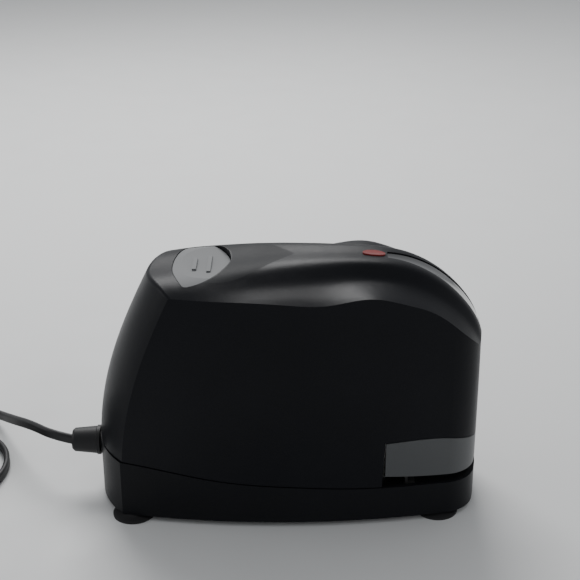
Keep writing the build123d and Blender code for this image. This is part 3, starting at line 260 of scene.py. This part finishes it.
ZINC_PLATE = Finish("zinc_plate", Grain.SPANGLE, (0.46, 0.47, 0.46), (0.66, 0.66, 0.64),
                    (0.26, 0.42), 1.6 * MM, 0.006 * MM, metal=1)
GROUND_STEEL = Finish("ground_steel", Grain.BRUSHED_Z, (0.55, 0.56, 0.57), (0.72, 0.73, 0.74),
                      (0.12, 0.24), 0.2 * MM, 0.003 * MM, metal=1)
TURNED_BRASS = Finish("turned_brass", Grain.TURNED, (0.52, 0.36, 0.13), (0.70, 0.52, 0.24),
                      (0.2, 0.34), 0.3 * MM, 0.006 * MM, metal=1)
SPRING_WIRE = Finish("spring_wire", Grain.SATIN, (0.36, 0.37, 0.39), (0.55, 0.56, 0.58),
                     (0.2, 0.36), 0.5 * MM, 0.004 * MM, metal=1)
NYLON_WHITE = Finish("nylon_white", Grain.SATIN, (0.60, 0.59, 0.54), (0.72, 0.71, 0.67),
                     (0.34, 0.48), 0.8 * MM, 0.01 * MM)
NYLON_BLACK = Finish("nylon_black", Grain.STIPPLE, (0.010, 0.010, 0.011), (0.020, 0.020, 0.022),
                     (0.42, 0.6), 0.5 * MM, 0.02 * MM)
SINTERED = Finish("sintered_magnet", Grain.STIPPLE, (0.05, 0.05, 0.055), (0.10, 0.10, 0.105),
                  (0.5, 0.7), 0.4 * MM, 0.03 * MM, metal=0.6)
BOARD_GREEN = Finish("board_green", Grain.TRACKS, (0.010, 0.085, 0.035), (0.022, 0.15, 0.065),
                     (0.22, 0.38), 3.0 * MM, 0.03 * MM, coat=0.3)
SLEEVE_BLACK = Finish("sleeve_black", Grain.SATIN, (0.008, 0.008, 0.010), (0.02, 0.02, 0.023),
                      (0.22, 0.36), 1.5 * MM, 0.006 * MM)
RELAY_BLUE = Finish("relay_blue", Grain.STIPPLE, (0.012, 0.05, 0.19), (0.025, 0.09, 0.30),
                    (0.3, 0.44), 0.5 * MM, 0.012 * MM)
COPPER_WIRE = Finish("copper_wire", Grain.WOUND, (0.30, 0.11, 0.045), (0.62, 0.27, 0.12),
                     (0.2, 0.34), 0.5 * MM, 0.12 * MM, metal=0.9)
STAPLE_WIRE = Finish("staple_wire", Grain.BRUSHED_Z, (0.55, 0.55, 0.55), (0.74, 0.74, 0.73),
                     (0.18, 0.32), 0.3 * MM, 0.004 * MM, metal=1)
PIN_NICKEL = Finish("pin_nickel", Grain.BRUSHED_X, (0.60, 0.57, 0.50), (0.76, 0.73, 0.66),
                    (0.16, 0.28), 0.3 * MM, 0.003 * MM, metal=1)

FINISH_OF_NODE: dict[str, Finish] = {
    "housing_cover": HOUSING_BLACK, "base_shell": BASE_BLACK, "bottom_plate": NYLON_BLACK,
    "leaf_panel": LEAF_BLACK, "nose_strip": STRIP_BLACK, "magazine_front": FRONT_GREY,
    "release_button": BUTTON_GREY, "indicator_lens": LENS_RED, "indicator_lamp": LAMP_RED,
    "foot_front_left": FOOT_RUBBER, "foot_front_right": FOOT_RUBBER,
    "foot_rear_left": FOOT_RUBBER, "foot_rear_right": FOOT_RUBBER,
    "strain_relief": RELIEF_RUBBER, "plug_body": RELIEF_RUBBER, "plug_blades": PIN_NICKEL,
    "frame_left": ZINC_PLATE, "frame_right": ZINC_PLATE, "frame_spacers": GROUND_STEEL,
    "frame_screws": ZINC_PLATE, "pivot_pins": GROUND_STEEL, "bottom_screws": ZINC_PLATE,
    "motor_can": ZINC_PLATE, "motor_end_cap": NYLON_WHITE, "motor_magnets": SINTERED,
    "motor_rotor": BRUSHED_STEEL, "motor_pinion": TURNED_BRASS, "idler_wheel": NYLON_WHITE,
    "idler_pinion": BRUSHED_STEEL, "cam_gear": NYLON_WHITE, "crank": BRUSHED_STEEL,
    "bushes": TURNED_BRASS, "hammer_arm": BRUSHED_STEEL, "driver_holder": NYLON_BLACK,
    "driver_blade": GROUND_STEEL, "driver_guide": NYLON_BLACK, "magazine_bed": ZINC_PLATE,
    "magazine_channel": BRUSHED_STEEL, "staple_rail": ZINC_PLATE, "staple_pusher": NYLON_BLACK,
    "pusher_rod": GROUND_STEEL, "pusher_spring": SPRING_WIRE, "striker_plate": BRUSHED_STEEL,
    "button_bracket": ZINC_PLATE, "button_spring": SPRING_WIRE, "latch_lever": NYLON_BLACK,
    "paper_trigger": NYLON_WHITE, "trigger_switch": SLEEVE_BLACK, "paper_stop": NYLON_BLACK,
    "anvil_plate": GROUND_STEEL, "board_standoffs": ZINC_PLATE, "circuit_board": BOARD_GREEN,
    "board_relay": RELAY_BLUE, "board_capacitors": SLEEVE_BLACK, "board_choke": COPPER_WIRE,
}


class Pattern:
    """A Geometry Nodes tree with named inputs, whose result becomes a plain mesh."""

    def __init__(self, name: str) -> None:
        """Starts an empty tree.

        Args:
            name: what the tree and its object are called.
        """
        self.tree = bpy.data.node_groups.new(name, "GeometryNodeTree")
        self.values: dict[str, Any] = {}
        self.tree.interface.new_socket("Geometry", in_out="INPUT", socket_type="NodeSocketGeometry")
        self.tree.interface.new_socket("Geometry", in_out="OUTPUT", socket_type="NodeSocketGeometry")
        self.source = self.tree.nodes.new("NodeGroupInput")
        self.result = self.tree.nodes.new("NodeGroupOutput")

    def size(self, name: str, value: float, whole: bool = False) -> bpy.types.NodeSocket:
        """Adds a named number that drives the tree.

        Args:
            name: the input's name.
            value: what it is set to.
            whole: True for a count.

        Returns:
            The socket that gives the number inside the tree.
        """
        kind = "NodeSocketInt" if whole else "NodeSocketFloat"
        item = self.tree.interface.new_socket(name, in_out="INPUT", socket_type=kind)
        self.values[item.identifier] = value
        return self.source.outputs[name]

    def add(self, kind: str, inputs: dict[Any, Any] | None = None, **settings: Any) -> bpy.types.NodeSocket:
        """Adds a node and gives its first output."""
        node = self.tree.nodes.new(kind)
        for key, value in settings.items():
            setattr(node, key, value)
        for key, value in (inputs or {}).items():
            sources = value if isinstance(value, list) else [value]
            for source in sources:
                if isinstance(source, bpy.types.NodeSocket):
                    self.tree.links.new(source, node.inputs[key])
                else:
                    node.inputs[key].default_value = source
        return node.outputs[0]

    def vector(self, x: Any = 0.0, y: Any = 0.0, z: Any = 0.0) -> bpy.types.NodeSocket:
        """Three numbers or sockets as one vector."""
        return self.add("ShaderNodeCombineXYZ", {0: x, 1: y, 2: z})

    def block(self, size: Any, place: Any) -> bpy.types.NodeSocket:
        """A block of one size at one place."""
        cube = self.add("GeometryNodeMeshCube", {"Size": size})
        return self.add("GeometryNodeTransform", {"Geometry": cube, "Translation": place})

    def bake(self, shape: bpy.types.NodeSocket, finish: Finish, points: list[Point]) -> bpy.types.Object:
        """Turns the tree's result into a plain mesh object.

        Args:
            shape: the socket with the finished geometry.
            finish: what it is made of.
            points: vertices that the tree is given.

        Returns:
            The new object, at the origin.
        """
        real = self.add("GeometryNodeRealizeInstances", {"Geometry": shape})
        dressed = self.add("GeometryNodeSetMaterial", {"Geometry": real, "Material": finish.material()})
        self.tree.links.new(dressed, self.result.inputs[0])
        mesh = bpy.data.meshes.new(self.tree.name)
        mesh.from_pydata(points, [], [])
        piece = bpy.data.objects.new(self.tree.name, mesh)
        bpy.context.scene.collection.objects.link(piece)
        modifier = piece.modifiers.new("pattern", "NODES")
        modifier.node_group = self.tree
        for key, value in self.values.items():
            modifier[key] = value
        graph = bpy.context.evaluated_depsgraph_get()
        made = bpy.data.meshes.new_from_object(piece.evaluated_get(graph), depsgraph=graph)
        piece.modifiers.remove(modifier)
        piece.data = made
        return piece


def carry(piece: bpy.types.Object, body: str, slot: str, *nodes: str) -> bpy.types.Object:
    """Puts a finished piece on its body, in place of CAD nodes.

    Args:
        piece: the finished object.
        body: the CAD body that it rides on.
        slot: the record's material slot; not used.
        nodes: the CAD nodes that it stands for.

    Returns:
        The same piece.
    """
    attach(piece, body)
    if nodes:
        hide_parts(*nodes)
    log.info("%s rides on %s", piece.name, body)
    return piece


@dataclass
class Lead:
    """The flat twin mains lead: a free stretch, one loose turn, a coil and the plug's tail.

    Attributes:
        width: across both wires.
        wall: across one wire.
        length: stated length, from the strain relief to the plug; not used.
        centre: middle of the coil on the table.
        loose_radius: radius of the loose turn.
        loose_start: angle where the loose turn begins, in degrees.
        loose_sweep: angle that it covers.
        loose_steady: control points of the loose turn before it draws in.
        draw_in: how far its end comes in.
        turn_points: control points in each turn.
        free: control points of the stretch before the loose turn.
        lower: first radius, last radius and turns of the layer on the table.
        upper: the same for the layer above it.
        air: space between the two layers.
        crest: how far the end of the upper layer climbs.
        climb_from: share of a layer after which it climbs.
        tail: control points from the coil into the plug, measured from the plug's end.
    """

    width: float = 5.4 * MM
    wall: float = 3.0 * MM
    length: float = 1.8
    centre: tuple[float, float] = (-186.5 * MM, 10.0 * MM)
    loose_radius: float = 39.6 * MM
    loose_start: float = 182.0
    loose_sweep: float = 330.0
    loose_steady: int = 7
    draw_in: float = 3.4 * MM
    turn_points: int = 12
    free: list[Point] = field(default_factory=lambda: [
        (-0.1095, 0.0, 0.0257), (-0.1205, 0.0015, 0.0274), (-0.134, 0.017, 0.0242), (-0.149, 0.038, 0.0155),
        (-0.163, 0.063, 0.0044), (-0.184, 0.078, 0.0027), (-0.210, 0.072, 0.0027), (-0.2255, 0.050, 0.0027),
        (-0.228, 0.027, 0.0027)])
    lower: Layer = (33.8 * MM, 21.8 * MM, 4.0)
    upper: Layer = (21.8 * MM, 30.0 * MM, 3.75)
    air: float = 0.1 * MM
    crest: float = 0.6 * MM
    climb_from: float = 0.9
    tail: list[Point] = field(default_factory=lambda: [
        (15 * MM, 15 * MM, -6 * MM), (6 * MM, 14 * MM, -3.5 * MM),
        (1 * MM, 8 * MM, -1 * MM), (0, -1 * MM, 0)])

    def ring(self, radius: float, degrees: float, height: float) -> Point:
        """A point of the coil at an angle."""
        angle = math.radians(degrees)
        x, y = self.centre
        return (x + radius * math.cos(angle), y + radius * math.sin(angle), height)

    def turns(self, start: float, layer: Layer, height: float, rise: float) -> list[Point]:
        """Control points of one layer of turns.

        Args:
            start: angle where the layer begins, in degrees.
            layer: first radius, last radius and number of turns.
            height: height of the layer's middle.
            rise: how far its last part climbs.

        Returns:
            The layer's points in order.
        """
        first, last, count = layer
        steps = round(count * self.turn_points)
        points = []
        for k in range(1, steps + 1):
            share = k / steps
            climb = rise * max(0.0, (share - self.climb_from) / (1 - self.climb_from))
            radius = first + (last - first) * share
            points.append(self.ring(radius, start + 360 * k / self.turn_points, height + climb))
        return points

    def route(self) -> list[Point]:
        """All control points, from the strain relief to the plug."""
        points = list(self.free)
        low = self.width / 2
        lift = self.width + self.air
        last = self.turn_points - 1
        for k in range(self.turn_points):
            shrink = self.draw_in * max(0.0, (k - self.loose_steady) / (last - self.loose_steady))
            angle = self.loose_start + self.loose_sweep * k / last
            points.append(self.ring(self.loose_radius - shrink, angle, low))
        end = self.loose_start + self.loose_sweep
        points += self.turns(end, self.lower, low, lift)
        turned = round(self.lower[2] * self.turn_points) * 360 / self.turn_points
        points += self.turns(end + turned, self.upper, low + lift, self.crest)
        plug_low, plug_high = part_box("plug_body")
        x, y, z = (plug_low.x + plug_high.x) / 2, plug_high.y, (plug_low.z + plug_high.z) / 2
        return points + [(x + out, y + along, z + up) for out, along, up in self.tail]

    def section(self) -> bpy.types.Object:
        """The twin lead's cross-section, two round wires side by side."""
        half = self.wall / 2
        offset = self.width / 2 - half
        arc_half, arc_steps = 112, 8
        outline = []
        for side in (1, -1):
            for k in range(arc_steps + 1):
                angle = math.radians(side * 90 - arc_half + 2 * arc_half * k / arc_steps)
                outline.append((half * math.cos(angle), side * offset + half * math.sin(angle)))
        curve = bpy.data.curves.new("lead_section", "CURVE")
        spline = curve.splines.new("POLY")
        spline.points.add(len(outline) - 1)
        for point, (x, y) in zip(spline.points, outline):
            point.co = (x, y, 0, 1)
        spline.use_cyclic_u = True
        shape = bpy.data.objects.new("lead_section", curve)
        bpy.context.scene.collection.objects.link(shape)
        shape.hide_render = True
        shape.hide_viewport = True
        return shape

    def build(self) -> bpy.types.Object:
        """Lays the lead as one smooth curve."""
        points = self.route()
        curve = bpy.data.curves.new("mains_lead", "CURVE")
        curve.dimensions = "3D"
        curve.twist_mode = "Z_UP"
        curve.resolution_u = 6
        curve.use_fill_caps = True
        spline = curve.splines.new("NURBS")
        spline.points.add(len(points) - 1)
        for point, place in zip(spline.points, points):
            point.co = (*place, 1)
        spline.order_u = 3
        spline.use_endpoint_u = True
        spline.use_smooth = True
        curve.bevel_mode = "OBJECT"
        curve.bevel_object = self.section()
        lead = bpy.data.objects.new("mains_lead", curve)
        bpy.context.scene.collection.objects.link(lead)
        curve.materials.append(LEAD_SHEATH.material())
        carry(lead, "chassis", "cord", "power_cord", "cord_coil", "plug_lead")
        return lead


@dataclass
class StapleStrip:
    """The strip of glued staples on the drawer's rail.

    Attributes:
        wire: thickness of the wire.
        pitch: distance from one staple to the next.
    """

    wire: float = 0.48 * MM
    pitch: float = 0.52 * MM

    def build(self) -> bpy.types.Object:
        """Repeats one staple along the strip's own box."""
        low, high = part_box("staple_strip")
        width, height = high.y - low.y, high.z - low.z
        count = int((high.x - low.x) / self.pitch)
        grid = Pattern("staples")
        wire = grid.size("Wire", self.wire)
        across = grid.size("Width", width)
        leg = grid.size("Leg", height)
        number = grid.size("Count", count, whole=True)
        pitch = grid.size("Pitch", self.pitch)
        crown = grid.block(grid.vector(wire, across, wire), (0, 0, high.z - self.wire / 2))
        reach, middle = (width - self.wire) / 2, (low.z + high.z) / 2
        legs = [grid.block(grid.vector(wire, wire, leg), (0, side * reach, middle)) for side in (-1, 1)]
        staple = grid.add("GeometryNodeJoinGeometry", {"Geometry": [crown, *legs]})
        start = (low.x + self.wire, (low.y + high.y) / 2, 0)
        steps = {"Count": number, "Start Location": start, "Offset": grid.vector(pitch)}
        line = grid.add("GeometryNodeMeshLine", steps)
        rows = grid.add("GeometryNodeInstanceOnPoints", {"Points": line, "Instance": staple})
        return carry(grid.bake(rows, STAPLE_WIRE, []), "magazine", "polished_steel", "staple_strip")


@dataclass
class BottomScrews:
    """Self-tapping screws that close the machine from below, with crossed slots in their heads.

    Attributes:
        head_radius: radius of a head.
        shank_radius: radius of a shank.
        head: height of a head.
        slot: width of each arm of the cross.
        slot_length: length of each arm.
        shank: length of a shank.
        sunk: how far the shank starts inside the head.
        plate_reach: distance of the rear and front plate screws from the middle plane.
        cover_x: how far the cover screws stand behind and in front of the origin.
        cover_narrowing: how much nearer the middle plane the front pair stands.
        deck: height of the cover screws' lower faces.
    """

    head_radius: float = 2.8 * MM
    shank_radius: float = 1.4 * MM
    head: float = 1.6 * MM
    slot: float = 0.75 * MM
    slot_length: float = 3.2 * MM
    shank: float = 13.3 * MM
    sunk: float = 0.05 * MM
    plate_reach: tuple[float, float] = (20.0 * MM, 24.0 * MM)
    cover_x: float = 36.0 * MM
    cover_narrowing: float = 0.8 * MM
    deck: float = 14.8 * MM

    def places(self) -> list[Point]:
        """The centre of each screw's lower face."""
        low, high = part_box("bottom_screws")
        edge = high.y - self.head_radius
        plate = list(zip((low.x + self.head_radius, high.x - self.head_radius), self.plate_reach))
        cover = [(-self.cover_x, edge), (self.cover_x, edge - self.cover_narrowing)]
        points = []
        for side in (-1, 1):
            points += [(x, side * y, low.z) for x, y in plate]
            points += [(x, side * y, self.deck) for x, y in cover]
        return points

    def rod(self, grid: Pattern, sides: int, radius: Any, height: float, foot: float) -> bpy.types.NodeSocket:
        """An upright cylinder that stands on a height called foot."""
        inputs = {"Vertices": sides, "Radius": radius, "Depth": height}
        cylinder = grid.add("GeometryNodeMeshCylinder", inputs)
        move = {"Geometry": cylinder, "Translation": (0, 0, foot + height / 2)}
        return grid.add("GeometryNodeTransform", move)

    def build(self) -> bpy.types.Object:
        """Puts one screw at each place."""
        grid = Pattern("bottom_screw_set")
        head_radius = grid.size("Head Radius", self.head_radius)
        shank_radius = grid.size("Shank Radius", self.shank_radius)
        slot = grid.size("Slot", self.slot)
        long = grid.size("Slot Length", self.slot_length)
        head = self.rod(grid, 32, head_radius, self.head, 0)
        shank = self.rod(grid, 20, shank_radius, self.shank, self.head - self.sunk)
        cross = [
            grid.block(grid.vector(long, slot, self.head), (0, 0, 0)),
            grid.block(grid.vector(slot, long, self.head), (0, 0, 0)),
        ]
        cut = grid.add("GeometryNodeMeshBoolean", {0: head, 1: cross}, operation="DIFFERENCE")
        screw = grid.add("GeometryNodeJoinGeometry", {"Geometry": [cut, shank]})
        places = {"Points": grid.source.outputs[0], "Instance": screw}
        rows = grid.add("GeometryNodeInstanceOnPoints", places)
        return carry(grid.bake(rows, ZINC_PLATE, self.places()), "chassis", "zinc", "bottom_screws")


@dataclass
class Body:
    """The CAD nodes. Those that finer pieces replace get the spare finish.

    Attributes:
        finishes: the finish of each node that keeps its CAD shape.
        spare: the finish of the others.
    """

    finishes: dict[str, Finish] = field(default_factory=lambda: dict(FINISH_OF_NODE))
    spare: Finish = LEAD_SHEATH

    def dress(self) -> None:
        """Gives each CAD node its finish."""
        for name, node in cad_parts.items():
            finish = self.finishes.get(name, self.spare)
            node.data.materials.clear()
            node.data.materials.append(finish.material())
            log.info("%s is dressed in %s", name, finish.name)


@dataclass
class Studio:
    """A pale table, soft lights and the camera.

    Attributes:
        eye: where the camera stands.
        pitch: how far it is turned up from straight down, in degrees.
        lens: focal length in millimetres.
        sensor: width of the sensor in millimetres.
        table_reach: distance from the middle of the table to its edges.
        sky: colour of the light from all round.
        sky_strength: its strength.
        lamps: each soft light's name, place, aim, size and power.
    """

    eye: Point = (0.0009, -0.5497, 0.3525)
    pitch: float = 66.1
    lens: float = 77.34
    sensor: float = 36.0
    table_reach: float = 8.0
    sky: Colour = (0.9, 0.92, 0.95)
    sky_strength: float = 0.52
    lamps: tuple[tuple[str, Point, Point, float, float], ...] = (
        ("rear", (-0.15, 0.75, 0.85), (0, -0.05, 0), 0.6, 11.0),
        ("left", (-1.2, 0.1, 0.5), (-0.08, 0, 0.05), 0.4, 1.6),
        ("right", (1.0, -0.35, 0.45), (0.08, 0, 0.05), 0.3, 0.8),
    )

    def floor(self) -> None:
        """A wide pale table top."""
        graph = Graph("table_top")
        colour = graph.blend(graph.noise(3.0), (0.70, 0.705, 0.70), (0.74, 0.745, 0.74))
        graph.feed(graph.shader.inputs["Base Color"], colour)
        graph.feed(graph.shader.inputs["Roughness"], graph.between(graph.noise(30.0), 0.55, 0.7))
        mesh = bpy.data.meshes.new("table_top")
        far = self.table_reach
        mesh.from_pydata([(-far, -far, 0), (far, -far, 0), (far, far, 0), (-far, far, 0)], [], [(0, 1, 2, 3)])
        mesh.materials.append(graph.material)
        table = bpy.data.objects.new("table_top", mesh)
        bpy.context.scene.collection.objects.link(table)

    def lamp(self, name: str, place: Point, aim: Point, size: float, power: float) -> None:
        """A square soft light.

        Args:
            name: what the light is called.
            place: where it stands.
            aim: the point that it faces.
            size: length of its side.
            power: in watts.
        """
        light = bpy.data.lights.new(name, "AREA")
        light.size = size
        light.energy = power
        item = bpy.data.objects.new(name, light)
        item.location = place
        item.rotation_euler = (Vector(aim) - Vector(place)).to_track_quat("-Z", "Y").to_euler()
        bpy.context.scene.collection.objects.link(item)

    def build(self) -> None:
        """Sets up the table, the lights and the camera."""
        self.floor()
        for name, place, aim, size, power in self.lamps:
            self.lamp(name, place, aim, size, power)
        world = bpy.data.worlds.new("studio")
        world.use_nodes = True
        sky = world.node_tree.nodes["Background"]
        sky.inputs["Color"].default_value = (*self.sky, 1)
        sky.inputs["Strength"].default_value = self.sky_strength
        bpy.context.scene.world = world
        camera = bpy.data.cameras.new("camera")
        camera.lens = self.lens
        camera.sensor_width = self.sensor
        item = bpy.data.objects.new("camera", camera)
        item.location = self.eye
        item.rotation_euler = (math.radians(self.pitch), 0, 0)
        bpy.context.scene.collection.objects.link(item)
        bpy.context.scene.camera = item


def main() -> None:
    """Builds every sub-assembly in order."""
    logging.basicConfig(level=logging.INFO, format="%(message)s")
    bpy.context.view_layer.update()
    Studio().build()
    Body().dress()
    Lead().build()
    StapleStrip().build()
    BottomScrews().build()


if __name__ == "__main__":
    main()
